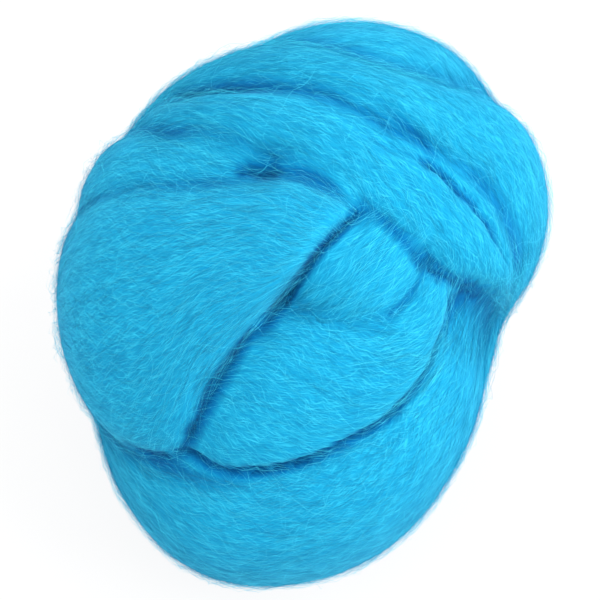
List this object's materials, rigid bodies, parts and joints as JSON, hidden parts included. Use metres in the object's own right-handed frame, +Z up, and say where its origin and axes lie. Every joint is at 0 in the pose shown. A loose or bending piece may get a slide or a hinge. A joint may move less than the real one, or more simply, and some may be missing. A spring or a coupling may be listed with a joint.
{
  "type": "ball of wool roving",
  "caption": "Soft egg-shaped ball of combed wool roving, one wide flat band of loose fibres wound over itself in crossing turns, resting on a small flat spot.",
  "frame": {"origin": "on the surface that the ball rests on, below the centre of its bounding box", "axes": "+Z up, away from the flat spot; +X to the ball's right with its wound face towards the viewer; the wound face looks up and towards -Y, 60 degrees above level"},
  "size_m": [0.1299, 0.1395, 0.1125],
  "materials": {
    "wool": "matte turquoise wool with a soft fuzzy sheen"
  },
  "bodies": {
    "root": {"roving_ball": "wool"}
  },
  "joints": []
}
